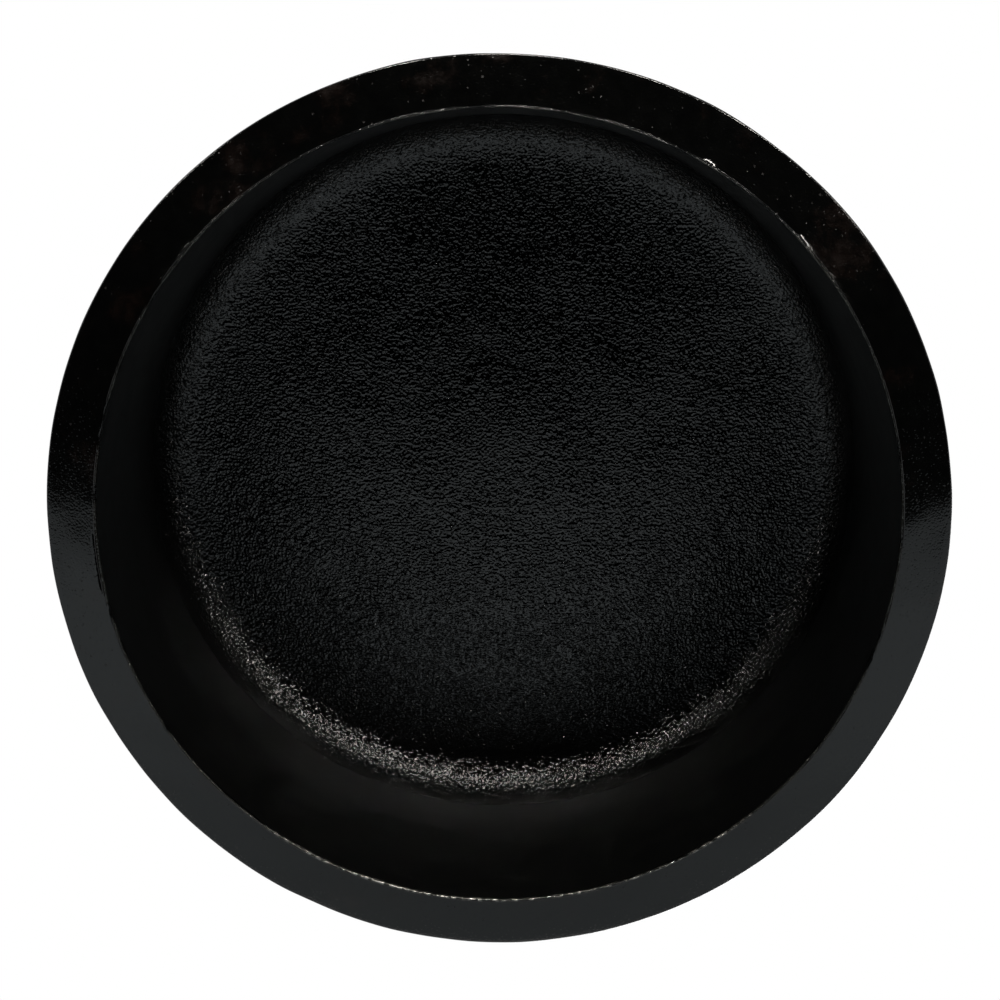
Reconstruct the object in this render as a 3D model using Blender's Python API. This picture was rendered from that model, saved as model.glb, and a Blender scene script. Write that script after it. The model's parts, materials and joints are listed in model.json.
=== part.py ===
"""Garden sundial: a hollow cast-iron drum that carries a turning horizontal dial.

The origin is the centre of the foot, on the surface that the drum stands on. +Z is up and +Y is the
dial's north. The brass dial plate lies in a seat in the drum's top and is centred by the seat's wall.
Three turn-buttons clamp its edge. They are swung clear to turn the dial to north or to lift it out.
"""

import math

import bmesh
import bpy
from mathutils import Matrix, Vector

GAP = 0.0003  # between faces that touch

# The cast drum: its hollow, seen from below
MOUTH_R = 0.0945  # the sharp inner edge of the foot
LAND_W = 0.0012  # flat ring at that edge, which carries the weight
FOOT_R = 0.1072  # the widest circle
FOOT_RISE = 0.0050  # how far the foot's face rises from the land to the widest circle
DRAFT = math.radians(5.4)  # the hollow's wall narrows upwards
HOLLOW_WALL_H = 0.0630  # up to the rounded corner
CORNER_R = 0.0115  # between the hollow's wall and its end
EASE_R = 0.0700  # the end bends gently towards the corner from this radius
EASE_TILT = math.radians(2.5)  # its slope where it meets the corner
END_SWELL = 0.0020  # the deck is this much thicker in the middle

# The cast drum: its outside
FASCIA_TOP = 0.0125
FASCIA_LEAN = 0.0010  # its top edge stands this far inside the widest circle
WALL_BOTTOM = (0.0990, 0.0205)  # radius and height where the foot's cove meets the wall
WALL_TOP = (0.0955, 0.0640)
RIM_R = 0.1020
RIM_BOTTOM = 0.0735
RIM_TOP = 0.0851
DECK_Z = 0.0805
SEAT_R = 0.0913

# The dial
PLATE_R = 0.0910
PLATE_T = 0.0030
LINER_R = (0.0600, 0.0880)
LINER_T = 0.0010
RING_R = (0.0650, 0.0835)
RING_T = 0.0016
RIVETS = 6
RIVET_CIRCLE_R = 0.0812
RIVET_R = 0.0010
RIVET_HEAD_R = 0.0017

# The gnomon, a fin that stands along the noon line
LATITUDE = math.radians(45)
TOE_Y = -0.0280  # where the shadow-casting edge meets the plate
STYLE_RUN = 0.0730
FIN_T = 0.0040
FOOT_BAR = (-0.0150, 0.0530)  # its ends along Y
FOOT_BAR_W = 0.0120
FOOT_BAR_H = 0.0055
PIERCING = (0.0230, 0.0270, 0.0085)  # its centre along Y, its height and its radius
GNOMON_SCREWS_Y = (-0.0060, 0.0440)

# The turn-buttons
BUTTON_ANGLES = (30, 150, 270)  # degrees from +X
BUTTON_CIRCLE_R = 0.0966
BUTTON_W = 0.0096
BUTTON_NOSE = 0.0100  # from the screw's axis to the tip over the plate
BUTTON_TAIL = 0.0048
BUTTON_T = 0.0025
SCREW_R = 0.0020
SCREW_HOLE_R = 0.0023
SCREW_HEAD_R = 0.0037
SCREW_HEAD_H = 0.0024
WASHER_T = 0.0008
SCREW_DEPTH = 0.0095

PLATE_BOTTOM = DECK_Z + LINER_T + 2 * GAP
PLATE_TOP = PLATE_BOTTOM + PLATE_T
RING_BOTTOM = PLATE_TOP + GAP
GNOMON_BOTTOM = PLATE_TOP + GAP
BUTTON_BOTTOM = max(RIM_TOP, PLATE_TOP) + GAP

STEPS = 96  # facets round the drum and the plate
CUTTER_OVERRUN = 0.002


def material(name, colour, roughness, metallic):
    made = bpy.data.materials.new(name)
    made.use_nodes = True
    shader = made.node_tree.nodes["Principled BSDF"]
    shader.inputs["Base Color"].default_value = (*colour, 1)
    shader.inputs["Roughness"].default_value = roughness
    shader.inputs["Metallic"].default_value = metallic
    return made


def add_object(name, bm, finish, location=(0, 0, 0), smooth_angle=35):
    """Turns a bmesh into an object. With no finish it is a cutter, which isn't rendered."""
    bmesh.ops.remove_doubles(bm, verts=bm.verts, dist=1e-6)
    bmesh.ops.recalc_face_normals(bm, faces=bm.faces)
    mesh = bpy.data.meshes.new(name)
    bm.to_mesh(mesh)
    bm.free()
    mesh.shade_smooth()
    mesh.set_sharp_from_angle(angle=math.radians(smooth_angle))
    obj = bpy.data.objects.new(name, mesh)
    obj.location = location
    bpy.context.scene.collection.objects.link(obj)
    if finish:
        mesh.materials.append(finish)
    else:
        obj.hide_render = True
        obj.display_type = "WIRE"
    return obj


def cut(obj, cutter):
    modifier = obj.modifiers.new(cutter.name, "BOOLEAN")
    modifier.operation = "DIFFERENCE"
    modifier.object = cutter


def arc(centre, radius, start, end, steps):
    """Points of an arc, as (across, up) pairs, from start to end in degrees."""
    return [
        (
            centre[0] + radius * math.cos(math.radians(start + (end - start) * i / steps)),
            centre[1] + radius * math.sin(math.radians(start + (end - start) * i / steps)),
        )
        for i in range(steps + 1)
    ]


def ogee(start, end, steps):
    """Points of an S-shaped sweep that leaves start and reaches end upright."""
    points = []
    for i in range(steps + 1):
        t = i / steps
        eased = t * t * (3 - 2 * t)
        points.append((start[0] + (end[0] - start[0]) * eased, start[1] + (end[1] - start[1]) * t))
    return points


def turned(profile, steps=STEPS):
    """A bmesh turned about Z from (radius, height) points. A profile that starts and ends on the axis is
    left open there, and any other is closed. It starts half a facet round, so that the edges between a
    disc's facets miss the corners of the holes in it."""
    bm = bmesh.new()
    first = math.pi / steps
    verts = [bm.verts.new((r * math.cos(first), r * math.sin(first), z)) for r, z in profile]
    for a, b in zip(verts, verts[1:]):
        bm.edges.new((a, b))
    if profile[0][0] > 0 or profile[-1][0] > 0:
        bm.edges.new((verts[-1], verts[0]))
    bmesh.ops.spin(
        bm,
        geom=bm.verts[:] + bm.edges[:],
        axis=(0, 0, 1),
        cent=(0, 0, 0),
        angle=math.tau,
        steps=steps,
        use_merge=True,
    )
    return bm


def extruded(outline, thickness, matrix=Matrix.Identity(4)):
    """A bmesh of a flat outline of (x, y) points, raised by thickness along Z and then moved by matrix."""
    bm = bmesh.new()
    face = bm.faces.new([bm.verts.new((x, y, 0)) for x, y in outline])
    raised = bmesh.ops.extrude_face_region(bm, geom=[face])["geom"]
    moved = [v for v in raised if isinstance(v, bmesh.types.BMVert)]
    bmesh.ops.translate(bm, verts=moved, vec=(0, 0, thickness))
    bm.transform(matrix)
    return bm


def capsule(start, end, half_width, steps=8):
    """The outline of a bar with round ends, lying along X from start to end."""
    right = arc((end - half_width, 0), half_width, -90, 90, steps)
    left = arc((start + half_width, 0), half_width, 90, 270, steps)
    return right + left


def hole_cutter(name, radius, bottom, top, location, steps=20):
    return add_object(name, turned([(0, bottom), (radius, bottom), (radius, top), (0, top)], steps), None, location)


def hollow_profile():
    """The hollow, from the middle of its closed end out to the sharp edge of the foot."""
    corner_x = MOUTH_R - HOLLOW_WALL_H * math.tan(DRAFT) - CORNER_R * math.cos(DRAFT)
    corner_z = HOLLOW_WALL_H - CORNER_R * math.sin(DRAFT)
    corner = arc((corner_x, corner_z), CORNER_R, 90 - math.degrees(EASE_TILT), math.degrees(DRAFT), 7)
    start_r, start_z = corner[0]
    drop = (start_r - EASE_R) * math.tan(EASE_TILT) / 2
    rings = 9
    end_face = []
    for i in range(rings):
        share = i / rings
        eased = max(0.0, (start_r * share - EASE_R) / (start_r - EASE_R))
        swell = END_SWELL * (1 - share * share) ** 2
        end_face.append((start_r * share, start_z + drop * (1 - eased * eased) - swell))
    return end_face + corner + [(MOUTH_R, 0)]


def outside_profile():
    """The drum's outside, from the foot's land up to the rim and in to the middle of the deck."""
    edge_r = 0.0012
    foot = [(MOUTH_R + LAND_W, 0), (FOOT_R - edge_r, FOOT_RISE - edge_r / 2)]
    lip_r = FOOT_R - FASCIA_LEAN
    fascia = [(FOOT_R, FOOT_RISE + edge_r / 2), *arc((lip_r - edge_r, FASCIA_TOP - edge_r), edge_r, 0, 90, 3)]
    cove = ogee((lip_r - 3 * edge_r, FASCIA_TOP), WALL_BOTTOM, 6)
    throat = ogee(WALL_TOP, (RIM_R, RIM_BOTTOM), 6)
    rim = arc((RIM_R - edge_r, RIM_TOP - edge_r), edge_r, 0, 90, 3)
    seat = [(SEAT_R, RIM_TOP), (SEAT_R, DECK_Z), (0, DECK_Z)]
    return foot + fascia + cove + throat + rim + seat


def make_drum(iron):
    drum = add_object("base_casting", turned(hollow_profile() + outside_profile()), iron)
    for number, angle in enumerate(BUTTON_ANGLES, 1):
        place = on_circle(BUTTON_CIRCLE_R, angle)
        bottom = RIM_TOP - SCREW_DEPTH
        cut(drum, hole_cutter(f"tapped_hole_{number}", SCREW_HOLE_R, bottom, RIM_TOP + CUTTER_OVERRUN, place))


def on_circle(radius, angle):
    return Vector((radius * math.cos(math.radians(angle)), radius * math.sin(math.radians(angle)), 0))


def make_liner(felt):
    bottom = DECK_Z + GAP
    inner, outer = LINER_R
    profile = [(inner, bottom), (outer, bottom), (outer, bottom + LINER_T), (inner, bottom + LINER_T)]
    add_object("felt_liner", turned(profile, 64), felt)


def make_plate(brass):
    edge = 0.0004
    profile = [
        (0, PLATE_BOTTOM),
        (PLATE_R - edge, PLATE_BOTTOM),
        (PLATE_R, PLATE_BOTTOM + edge),
        (PLATE_R, PLATE_TOP - edge),
        (PLATE_R - edge, PLATE_TOP),
        (0, PLATE_TOP),
    ]
    plate = add_object("dial_plate", turned(profile), brass)
    bottom, top = PLATE_BOTTOM - CUTTER_OVERRUN, PLATE_TOP + CUTTER_OVERRUN
    for number, y in enumerate(GNOMON_SCREWS_Y, 1):
        head_r = SCREW_HEAD_R + GAP
        cone = [
            (0, bottom),
            (head_r, bottom),
            (head_r, PLATE_BOTTOM),
            (SCREW_HOLE_R, PLATE_BOTTOM + head_r - SCREW_HOLE_R),
            (SCREW_HOLE_R, top),
            (0, top),
        ]
        cut(plate, add_object(f"countersink_{number}", turned(cone, 20), None, (0, y, 0)))
    for number in range(1, RIVETS + 1):
        place = on_circle(RIVET_CIRCLE_R, rivet_angle(number))
        cut(plate, hole_cutter(f"plate_rivet_hole_{number}", RIVET_R + GAP, bottom, top, place, 12))


def rivet_angle(number):
    return 270 + 360 / RIVETS * (number - 0.5)


def make_chapter_ring(brass):
    edge = 0.0004
    inner, outer = RING_R
    top = RING_BOTTOM + RING_T
    profile = [
        (inner, RING_BOTTOM),
        (outer, RING_BOTTOM),
        (outer, top - edge),
        (outer - edge, top),
        (inner + edge, top),
        (inner, top - edge),
    ]
    ring = add_object("chapter_ring", turned(profile), brass)
    for number in range(1, RIVETS + 1):
        place = on_circle(RIVET_CIRCLE_R, rivet_angle(number))
        low, high = RING_BOTTOM - CUTTER_OVERRUN, top + CUTTER_OVERRUN
        cut(ring, hole_cutter(f"ring_rivet_hole_{number}", RIVET_R + GAP, low, high, place, 12))


def make_rivets(brass):
    head_bottom = RING_BOTTOM + RING_T + GAP
    head_h = 0.0010
    low = PLATE_BOTTOM + GAP
    dome = [(RIVET_HEAD_R * math.cos(a), head_bottom + head_h * math.sin(a)) for a in (0, 0.55, 1.1)]
    profile = [(0, low), (RIVET_R, low), (RIVET_R, head_bottom), *dome, (0, head_bottom + head_h)]
    for number in range(1, RIVETS + 1):
        place = on_circle(RIVET_CIRCLE_R, rivet_angle(number))
        add_object(f"ring_rivet_{number}", turned(profile, 12), brass, place)


def fin_outline():
    """The fin seen from the east, as (y, height above its underside): the straight shadow-casting edge,
    the nose, and a back that sweeps down in an S."""
    rise = math.tan(LATITUDE)
    apex_y = TOE_Y + STYLE_RUN
    top = STYLE_RUN * rise
    toe = [(TOE_Y, 0.0), (TOE_Y, 0.0012)]
    nose = arc((apex_y + 0.0012, top - 0.0030), 0.0024, 125, -20, 5)
    back_ends = (Vector(nose[-1]), Vector((FOOT_BAR[1] - 0.0040, 0.0)))
    pulls = (Vector((apex_y - 0.0330, top * 0.60)), Vector((FOOT_BAR[1] + 0.0110, top * 0.34)))
    back = []
    for i in range(1, 13):
        t = i / 12
        s = 1 - t
        point = back_ends[0] * s**3 + pulls[0] * 3 * s * s * t + pulls[1] * 3 * s * t * t + back_ends[1] * t**3
        back.append(tuple(point))
    return toe + nose + back


def make_gnomon(brass):
    """The fin and its foot bar are one casting."""
    upright = Matrix(((0, 0, 1, -FIN_T / 2), (1, 0, 0, 0), (0, 1, 0, GNOMON_BOTTOM), (0, 0, 0, 1)))
    gnomon = add_object("gnomon", extruded(fin_outline(), FIN_T, upright), brass)
    along_y = Matrix.Translation((0, 0, GNOMON_BOTTOM)) @ Matrix.Rotation(math.pi / 2, 4, "Z")
    bar = extruded(capsule(*FOOT_BAR, FOOT_BAR_W / 2), FOOT_BAR_H, along_y)
    foot_bar = add_object("foot_bar", bar, None)
    joined = gnomon.modifiers.new("foot_bar", "BOOLEAN")
    joined.operation = "UNION"
    joined.object = foot_bar
    y, height, radius = PIERCING
    hole = turned([(0, -FIN_T), (radius, -FIN_T), (radius, FIN_T), (0, FIN_T)], 28)
    hole.transform(Matrix.Rotation(math.pi / 2, 4, "Y"))
    cut(gnomon, add_object("piercing", hole, None, (0, y, GNOMON_BOTTOM + height)))
    for number, screw_y in enumerate(GNOMON_SCREWS_Y, 1):
        top = GNOMON_BOTTOM + FOOT_BAR_H - 0.0010
        low = GNOMON_BOTTOM - CUTTER_OVERRUN
        cut(gnomon, hole_cutter(f"gnomon_hole_{number}", SCREW_HOLE_R, low, top, (0, screw_y, 0)))


def make_gnomon_screws(brass):
    """Countersunk screws that hold the gnomon from the plate's underside."""
    head_z = PLATE_BOTTOM + GAP
    tip_z = GNOMON_BOTTOM + FOOT_BAR_H - 0.0016
    profile = [
        (0, head_z),
        (SCREW_HEAD_R - GAP, head_z),
        (SCREW_R, head_z + SCREW_HEAD_R - GAP - SCREW_R),
        (SCREW_R, tip_z),
        (0, tip_z),
    ]
    for number, y in enumerate(GNOMON_SCREWS_Y, 1):
        screw = add_object(f"gnomon_screw_{number}", turned(profile, 20), brass, (0, y, 0))
        cut(screw, slot_cutter(f"gnomon_slot_{number}", head_z, (0, y, 0), 0))


def slot_cutter(name, height, location, turn):
    """A box that cuts a screwdriver slot across a head whose face is at this height."""
    width, depth = 0.0009, 0.0009
    bm = bmesh.new()
    bmesh.ops.create_cube(bm, size=1)
    bmesh.ops.scale(bm, vec=(3 * SCREW_HEAD_R, width, 2 * depth), verts=bm.verts)
    bm.transform(Matrix.Translation((0, 0, height)) @ Matrix.Rotation(math.radians(turn), 4, "Z"))
    return add_object(name, bm, None, location)


def make_button(number, angle, brass):
    """A turn-button that swings on its screw: its nose laps over the plate's edge at rest."""
    outline = capsule(-BUTTON_NOSE, BUTTON_TAIL, BUTTON_W / 2)
    button = add_object(f"turn_button_{number}", extruded(outline, BUTTON_T), brass)
    button.location = on_circle(BUTTON_CIRCLE_R, angle) + Vector((0, 0, BUTTON_BOTTOM))
    button.rotation_euler.z = math.radians(angle)
    bore = hole_cutter(
        f"button_bore_{number}", SCREW_HOLE_R, -CUTTER_OVERRUN, BUTTON_T + CUTTER_OVERRUN, button.location
    )
    cut(button, bore)


def make_button_screw(number, angle, brass, steel):
    """The slotted screw that a turn-button swings on, and the washer under its head."""
    place = on_circle(BUTTON_CIRCLE_R, angle)
    washer_z = BUTTON_BOTTOM + BUTTON_T + GAP
    washer = [
        (SCREW_HOLE_R, washer_z),
        (SCREW_HEAD_R, washer_z),
        (SCREW_HEAD_R, washer_z + WASHER_T),
        (SCREW_HOLE_R, washer_z + WASHER_T),
    ]
    add_object(f"button_washer_{number}", turned(washer, 24), steel, place)
    head_z = washer_z + WASHER_T + GAP
    tip_z = RIM_TOP - SCREW_DEPTH + 2 * GAP
    dome = [
        (SCREW_HEAD_R * math.cos(a), head_z + 0.0008 + (SCREW_HEAD_H - 0.0008) * math.sin(a))
        for a in (0, 0.4, 0.8, 1.2)
    ]
    profile = [
        (0, tip_z),
        (SCREW_R, tip_z),
        (SCREW_R, head_z),
        (SCREW_HEAD_R, head_z),
        *dome,
        (0, head_z + SCREW_HEAD_H),
    ]
    screw = add_object(f"button_screw_{number}", turned(profile, 24), brass, place)
    cut(screw, slot_cutter(f"button_slot_{number}", head_z + SCREW_HEAD_H, place, angle + 35))


def main():
    for obj in list(bpy.data.objects):
        bpy.data.objects.remove(obj)
    iron = material("black_enamel", (0.012, 0.012, 0.013), 0.32, 0.0)
    brass = material("dial_brass", (0.44, 0.31, 0.13), 0.42, 1.0)
    bright_brass = material("fastener_brass", (0.60, 0.44, 0.18), 0.35, 1.0)
    steel = material("washer_steel", (0.55, 0.55, 0.55), 0.35, 1.0)
    felt = material("felt", (0.05, 0.05, 0.05), 0.95, 0.0)
    make_drum(iron)
    make_liner(felt)
    make_plate(brass)
    make_chapter_ring(brass)
    make_rivets(bright_brass)
    make_gnomon(brass)
    make_gnomon_screws(bright_brass)
    for number, angle in enumerate(BUTTON_ANGLES, 1):
        make_button(number, angle, bright_brass)
        make_button_screw(number, angle, bright_brass, steel)


main()
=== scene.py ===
"""Garden sundial: the cast drum's enamelled surfaces, the brass dial with its relief, and the studio.

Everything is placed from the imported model: +Z is up, +Y is the dial's north, and the origin is the centre
of the foot. The camera looks up into the hollow of the drum, so the floor is open under the foot.
"""

import json
import math
import random

import bmesh
import bpy
from mathutils import Matrix, Vector, noise


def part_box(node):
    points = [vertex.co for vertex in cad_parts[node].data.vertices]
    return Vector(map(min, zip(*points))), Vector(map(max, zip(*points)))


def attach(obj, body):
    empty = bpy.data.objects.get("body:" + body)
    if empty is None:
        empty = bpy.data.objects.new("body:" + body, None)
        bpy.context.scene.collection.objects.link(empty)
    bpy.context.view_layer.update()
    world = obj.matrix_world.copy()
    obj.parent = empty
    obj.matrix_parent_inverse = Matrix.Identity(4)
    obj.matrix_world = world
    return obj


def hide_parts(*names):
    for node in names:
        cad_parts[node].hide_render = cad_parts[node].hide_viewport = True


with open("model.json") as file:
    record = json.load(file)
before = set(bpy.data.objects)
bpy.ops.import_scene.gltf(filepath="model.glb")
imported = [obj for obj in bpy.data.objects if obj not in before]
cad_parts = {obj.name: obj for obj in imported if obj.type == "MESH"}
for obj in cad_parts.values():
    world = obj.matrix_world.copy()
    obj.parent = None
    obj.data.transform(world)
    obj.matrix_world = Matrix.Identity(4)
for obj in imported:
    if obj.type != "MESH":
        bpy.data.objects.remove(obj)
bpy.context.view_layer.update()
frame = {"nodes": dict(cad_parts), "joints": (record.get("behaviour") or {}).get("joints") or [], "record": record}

# The drum's hollow and foot
LAND_W = 0.0006  # flat ring that the drum stands on
MOUTH_R = frame["record"]["mounts"][0]["pos_m"][0] - LAND_W / 2 + 0.00005
DRAFT = math.radians(5.4)
HOLLOW_WALL_H = 0.0630
CORNER_R = 0.0115
EASE_R = 0.0700  # where the closed end starts to dish towards its corner
EASE_TILT = math.radians(2.5)
END_SWELL = 0.0020
FOOT_R = 0.1072
FOOT_RISE = 0.0050  # how far the foot's outer band rises from the land to its outer edge

# The drum's outside
FASCIA_TOP = 0.0125
FASCIA_LEAN = 0.0010  # the foot's top edge stands this far inside its widest circle
WALL_BOTTOM = (0.0990, 0.0205)
WALL_TOP = (0.0955, 0.0640)
RIM_R = 0.1020
RIM_BOTTOM = 0.0735
RIM_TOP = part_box("base_casting")[1].z
DECK_Z = 0.0805
HOLLOW_TOP = DECK_Z - 0.0025
SEAT_R = 0.0913

# The dial
PLATE_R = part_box("dial_plate")[1].x
PLATE_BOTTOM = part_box("dial_plate")[0].z
PLATE_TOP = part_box("dial_plate")[1].z
RING_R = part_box("chapter_ring")[1].x
RING_INNER_R = 0.0650
RING_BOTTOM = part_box("chapter_ring")[0].z
RING_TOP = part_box("chapter_ring")[1].z
LATITUDE = math.radians(45)
TOE_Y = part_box("gnomon")[0].y
FIN_T = 0.0040

# The relief on the dial
NUMERALS = dict(zip(range(5, 20), "V VI VII VIII IX X XI XII I II III IIII V VI VII".split()))
NUMERAL_H = 0.0078
NUMERAL_R = 0.0742
RELIEF = 0.0005
ROOT = 0.0002  # how far raised work is let into the piece that carries it
RELIEF_EASE = 0.00010
TICK_BAND = (0.0662, 0.0688)
BORDERS_R = (0.0655, 0.0694, 0.0790)

# The turn-buttons
BUTTON_JOINTS = [joint for joint in frame["joints"] if joint["name"].startswith("turn_button")]
BUTTON_W = 0.0096
BUTTON_NOSE = 0.0100
BUTTON_TAIL = 0.0048
SCREW_R = 0.0020
SCREW_HOLE_R = 0.0023
SCREW_HEAD_R = 0.0037
RIVET_R = 0.0010
RIVET_HEAD_R = 0.0017
HEAD_GAP = 0.0003  # left between a head and the piece that it holds
SLOT_W = 0.0009
SLOT_DEPTH = 0.0010

# The studio under the floor
FLOOR_GAP = 0.011  # ring round the foot that light from below comes up through
FLOOR_R = 8.0
LAMPS = ((-50, 34), (-16, 115), (2, 140), (20, 120), (38, 105), (56, 45))  # turn from north, radiance
LAMP_TILT = 66
LAMP_DISTANCE = 1.3
LAMP_SIZE = (0.16, 0.06)
LAMP_COLOUR = (1, 0.96, 0.90)
PANEL_DEPTH = 0.9
PANEL_COLOUR = (0.90, 0.975, 1)
PANELS = (  # west and east ends, north and south edges, radiance
    ((-0.65, 0.65), (-0.295, -0.52), 0.86),
    ((-2.5, -0.65), (-0.295, -0.52), 0.46),
    ((0.65, 2.5), (-0.295, -0.52), 0.46),
    ((-2.5, 2.5), (-0.52, -1.1), 0.56),
    ((-2.5, 2.5), (-1.1, -1.5), 0.47),
    ((-2.5, 2.5), (-1.5, -2.7), 0.41),
)

DRUM_STEPS = 384
DIAL_STEPS = 192
FLOOR_STEPS = 128
SHARP_ANGLE = 38  # degrees between faces from which an edge is kept hard


# Meshes


def finish_mesh(name, bm, finish, smooth_angle=SHARP_ANGLE):
    """Makes an object of a bmesh, with its normals outward and its hard edges kept."""
    bmesh.ops.recalc_face_normals(bm, faces=bm.faces)
    mesh = bpy.data.meshes.new(name)
    bm.to_mesh(mesh)
    bm.free()
    mesh.shade_smooth()
    mesh.set_sharp_from_angle(angle=math.radians(smooth_angle))
    if finish:
        mesh.materials.append(finish)
    obj = bpy.data.objects.new(name, mesh)
    bpy.context.scene.collection.objects.link(obj)
    return obj


def turned(profile, steps):
    """A bmesh turned about Z from (radius, height) points. A point on the axis closes the body there; a
    profile that stays off the axis is joined end to end."""
    bm = bmesh.new()
    rings = []
    for radius, height in profile:
        count = steps if radius > 1e-7 else 1
        angles = [math.tau * i / steps for i in range(count)]
        rings.append([bm.verts.new((radius * math.cos(a), radius * math.sin(a), height)) for a in angles])
    pairs = list(zip(rings, rings[1:]))
    if len(rings[0]) > 1 and len(rings[-1]) > 1:
        pairs.append((rings[-1], rings[0]))
    for low, high in pairs:
        for i in range(steps):
            j = (i + 1) % steps
            corners = (low[i % len(low)], low[j % len(low)], high[j % len(high)], high[i % len(high)])
            bm.faces.new(dict.fromkeys(corners))
    bm.normal_update()
    return bm


def extruded(outline, thickness):
    """A bmesh of an upright prism that starts at height 0."""
    bm = bmesh.new()
    add_prism(bm, outline, 0, thickness)
    return bm


def add_prism(bm, outline, bottom, top, matrix=Matrix.Identity(4)):
    """Adds an upright prism on an outline of (x, y) points."""
    face = bm.faces.new([bm.verts.new(matrix @ Vector((x, y, bottom))) for x, y in outline])
    raised = bmesh.ops.extrude_face_region(bm, geom=[face])["geom"]
    moved = [v for v in raised if isinstance(v, bmesh.types.BMVert)]
    bmesh.ops.translate(bm, verts=moved, vec=(0, 0, top - bottom))


def arc(centre, radius, start, end, steps):
    """Points of an arc, as (across, up) pairs, from start to end in degrees."""
    angles = [math.radians(start + (end - start) * i / steps) for i in range(steps + 1)]
    return [(centre[0] + radius * math.cos(a), centre[1] + radius * math.sin(a)) for a in angles]


def ogee(start, end, steps):
    """Points of an S-shaped sweep that leaves start and reaches end upright."""
    points = []
    for i in range(steps + 1):
        t = i / steps
        eased = t * t * (3 - 2 * t)
        points.append((start[0] + (end[0] - start[0]) * eased, start[1] + (end[1] - start[1]) * t))
    return points


def straight(start, end, steps):
    """Points from start to just short of end."""
    return [
        (start[0] + (end[0] - start[0]) * i / steps, start[1] + (end[1] - start[1]) * i / steps)
        for i in range(steps)
    ]


def capsule(start, end, half_width, steps=16):
    """The outline of a bar with round ends, along X."""
    right = arc((end - half_width, 0), half_width, -90, 90, steps)
    left = arc((start + half_width, 0), half_width, 90, 270, steps)
    return right + left


def carve(obj, *cutters):
    """Cuts the cutters out of obj for good, and removes them."""
    for cutter in cutters:
        modifier = obj.modifiers.new("cut", "BOOLEAN")
        modifier.operation = "DIFFERENCE"
        modifier.solver = "EXACT"
        modifier.object = cutter
    shape = obj.evaluated_get(bpy.context.evaluated_depsgraph_get())
    obj.data = bpy.data.meshes.new_from_object(shape)
    obj.modifiers.clear()
    for cutter in cutters:
        bpy.data.objects.remove(cutter)


def ease_edges(obj, width, segments, angle=35):
    """Rounds the hard edges a little."""
    bevel = obj.modifiers.new("eased_edges", "BEVEL")
    bevel.width = width
    bevel.segments = segments
    bevel.limit_method = "ANGLE"
    bevel.angle_limit = math.radians(angle)
    bevel.harden_normals = False


def place(obj, body, slot, *nodes):
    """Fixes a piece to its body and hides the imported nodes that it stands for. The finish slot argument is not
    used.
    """
    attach(obj, body)
    if nodes:
        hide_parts(*nodes)


# Shader nodes


def node(tree, kind, inputs=None, **settings):
    """Adds a node. An input's value is a number, a colour or another node's output."""
    made = tree.nodes.new(kind)
    for key, value in settings.items():
        setattr(made, key, value)
    for key, value in (inputs or {}).items():
        if isinstance(value, bpy.types.NodeSocket):
            tree.links.new(value, made.inputs[key])
        else:
            made.inputs[key].default_value = value
    return made


def calc(tree, operation, *values, clamp=False):
    """Arithmetic on numbers and other nodes' outputs."""
    made = node(tree, "ShaderNodeMath", dict(enumerate(values)), operation=operation)
    made.use_clamp = clamp
    return made.outputs[0]


def ramp(tree, value, low, high, to_low=0.0, to_high=1.0):
    """Turns a value smoothly from to_low at low into to_high at high."""
    numbers = {"Value": value, "From Min": low, "From Max": high, "To Min": to_low, "To Max": to_high}
    return node(tree, "ShaderNodeMapRange", numbers, interpolation_type="SMOOTHSTEP").outputs[0]


def mix(tree, share, first, second):
    """A colour between two others."""
    made = node(tree, "ShaderNodeMix", data_type="RGBA", clamp_factor=True)
    for socket, value in zip((made.inputs[0], made.inputs[6], made.inputs[7]), (share, first, second)):
        if isinstance(value, bpy.types.NodeSocket):
            tree.links.new(value, socket)
        else:
            socket.default_value = value
    return made.outputs[2]


def grey(value):
    return (value, value, value, 1.0)


def rest(tree, mask):
    """What a mask leaves out."""
    return calc(tree, "SUBTRACT", 1.0, mask)


def cloud(tree, where, scale, detail=2.0, roughness=0.5):
    """Noise from 0 to 1 at this many features a metre."""
    values = {"Vector": where, "Scale": scale, "Detail": detail, "Roughness": roughness}
    return node(tree, "ShaderNodeTexNoise", values).outputs["Fac"]


def new_group(name, inputs, outputs):
    """A shader node group with named number inputs and outputs; a name that ends in colour is a colour."""
    group = bpy.data.node_groups.new(name, "ShaderNodeTree")
    for in_out, sockets in (("INPUT", inputs), ("OUTPUT", outputs)):
        for socket_name in sockets:
            kind = "NodeSocketColor" if socket_name.endswith("Colour") else "NodeSocketFloat"
            group.interface.new_socket(socket_name, in_out=in_out, socket_type=kind)
    ends = group.nodes.new("NodeGroupInput"), group.nodes.new("NodeGroupOutput")
    return group, ends[0].outputs, ends[1].inputs


def use(tree, group, **values):
    """Places a group. Its inputs are given by name with _ for a space."""
    made = node(tree, "ShaderNodeGroup", node_tree=group)
    for key, value in values.items():
        socket = made.inputs[key.replace("_", " ")]
        if isinstance(value, bpy.types.NodeSocket):
            tree.links.new(value, socket)
        else:
            socket.default_value = value
    return made.outputs


def position(tree):
    """The place on the surface, in metres from the piece's origin."""
    return node(tree, "ShaderNodeTexCoord").outputs["Object"]


def round_place(tree, where):
    """The distance from the Z axis, and the height, of a place."""
    xyz = node(tree, "ShaderNodeSeparateXYZ", {0: where}).outputs
    east, north = (calc(tree, "MULTIPLY", way, way) for way in xyz[:2])
    return calc(tree, "SQRT", calc(tree, "ADD", east, north)), xyz[2]


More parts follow.
